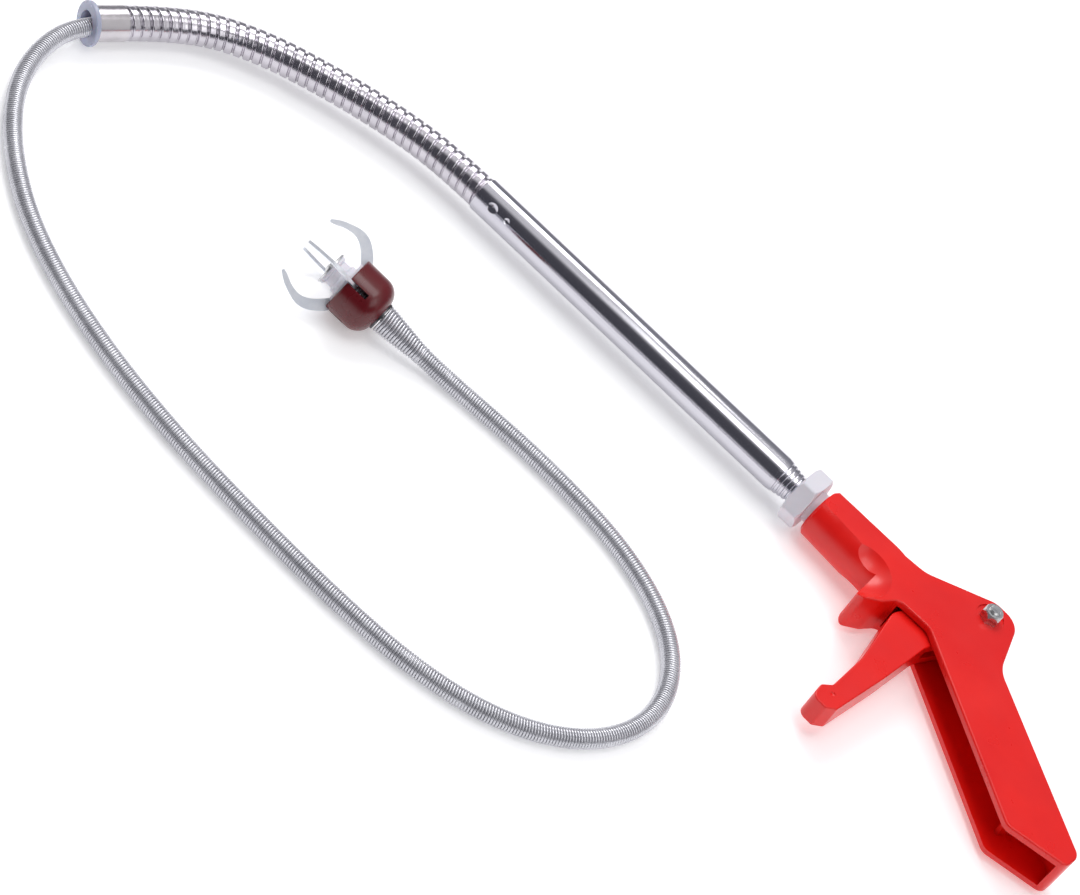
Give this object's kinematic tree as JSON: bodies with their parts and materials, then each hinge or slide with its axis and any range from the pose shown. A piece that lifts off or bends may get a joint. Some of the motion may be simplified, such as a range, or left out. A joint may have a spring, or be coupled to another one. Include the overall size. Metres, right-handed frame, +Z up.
{
  "type": "reacher grabber",
  "caption": "Flexible claw reacher: a pistol grip's trigger pulls a cable through a steel tube, gooseneck hose and long spring shaft, and closes sprung sheet steel claws at its tip.",
  "frame": {"origin": "on the floor under the middle of the object's box, with the free shaft and its inner cable left out", "axes": "+X along the steel tube towards the pistol grip, +Y away from the trigger's tip, +Z up through the handle's side faces as the tool lies"},
  "size_m": [0.5228, 0.2365, 0.0316],
  "materials": {
    "red_plastic": "glossy moulded red, rounded edges",
    "white_plastic": "moulded white nylon",
    "clear_plastic": "milky, slightly lilac",
    "dark_red_plastic": "glossy dark maroon",
    "polished_steel": "polished tube",
    "sleeve_steel": "smooth rolled sleeve",
    "hose_steel": "wound bands, satin",
    "spring_steel": "drawn spring wire",
    "cable_steel": "bare wire",
    "zinc_steel": "bright zinc plate",
    "dark_steel": "dark oxide",
    "claw_steel": "zinc grey sheet"
  },
  "bodies": {
    "tool": {"handle_body": "red_plastic", "pivot_bolt": "zinc_steel", "pivot_nut": "zinc_steel", "trigger_spring": "spring_steel", "steel_tube": "polished_steel", "hose_ferrule": "zinc_steel", "lock_nut": "white_plastic", "tube_bushing": "white_plastic", "gooseneck_hose": "hose_steel", "end_sleeve": "sleeve_steel", "end_ring": "clear_plastic", "shaft_plug": "white_plastic", "shaft_spring": "spring_steel", "inner_cable": "cable_steel", "tail_coil": "spring_steel", "tail_washer": "dark_steel", "claw_cup": "dark_red_plastic", "head_spring": "spring_steel"},
    "trigger": {"trigger": "red_plastic"},
    "cable": {"pull_wire": "cable_steel", "cable_nipple": "zinc_steel"},
    "hub": {"claw_hub": "white_plastic", "hinge_pins": "zinc_steel", "hub_washer": "zinc_steel", "plunger_rod": "zinc_steel", "cable_ferrule": "zinc_steel"},
    "claw_1": {"claw_1": "claw_steel"},
    "claw_2": {"claw_2": "claw_steel"},
    "claw_3": {"claw_3": "claw_steel"},
    "claw_4": {"claw_4": "claw_steel"}
  },
  "joints": [
    {"name": "trigger_squeeze", "type": "hinge", "parent": "tool", "child": "trigger", "pos_m": [0.1723, 0.05934, 0.013], "axis": [0, 0, 1], "range_deg": [0, 28], "stiffness_Nm_per_rad": 0.6, "springref_deg": -17.19},
    {"name": "cable_slide", "type": "slide", "parent": "tool", "child": "cable", "axis": [1, 0, 0], "range_m": [0, 0.0068]},
    {"name": "hub_slide", "type": "slide", "parent": "tool", "child": "hub", "axis": [0.9607, 0.1998, -0.1925], "range_m": [0, 0.0068], "stiffness_N_per_m": 300, "springref_m": -0.01, "deforming": ["head_spring"]},
    {"name": "claw_1_hinge", "type": "hinge", "parent": "hub", "child": "claw_1", "pos_m": [-0.09422, -0.04515, 0.01898], "axis": [0.2753, -0.5993, 0.7517], "range_deg": [0, 30]},
    {"name": "claw_2_hinge", "type": "hinge", "parent": "hub", "child": "claw_2", "pos_m": [-0.09189, -0.05545, 0.01989], "axis": [0.0348, -0.7752, -0.6308], "range_deg": [0, 30]},
    {"name": "claw_3_hinge", "type": "hinge", "parent": "hub", "child": "claw_3", "pos_m": [-0.0937, -0.05677, 0.00952], "axis": [-0.2753, 0.5993, -0.7517], "range_deg": [0, 30]},
    {"name": "claw_4_hinge", "type": "hinge", "parent": "hub", "child": "claw_4", "pos_m": [-0.09602, -0.04647, 0.00861], "axis": [-0.0348, 0.7752, 0.6308], "range_deg": [0, 30]}
  ],
  "couplings": [
    {"joint": "cable_slide", "follows": "trigger_squeeze", "m_per_rad": 0.013775},
    {"joint": "hub_slide", "follows": "trigger_squeeze", "m_per_rad": 0.013775},
    {"joint": "claw_1_hinge", "follows": "trigger_squeeze", "ratio": 1.0714},
    {"joint": "claw_2_hinge", "follows": "trigger_squeeze", "ratio": 1.0714},
    {"joint": "claw_3_hinge", "follows": "trigger_squeeze", "ratio": 1.0714},
    {"joint": "claw_4_hinge", "follows": "trigger_squeeze", "ratio": 1.0714}
  ]
}
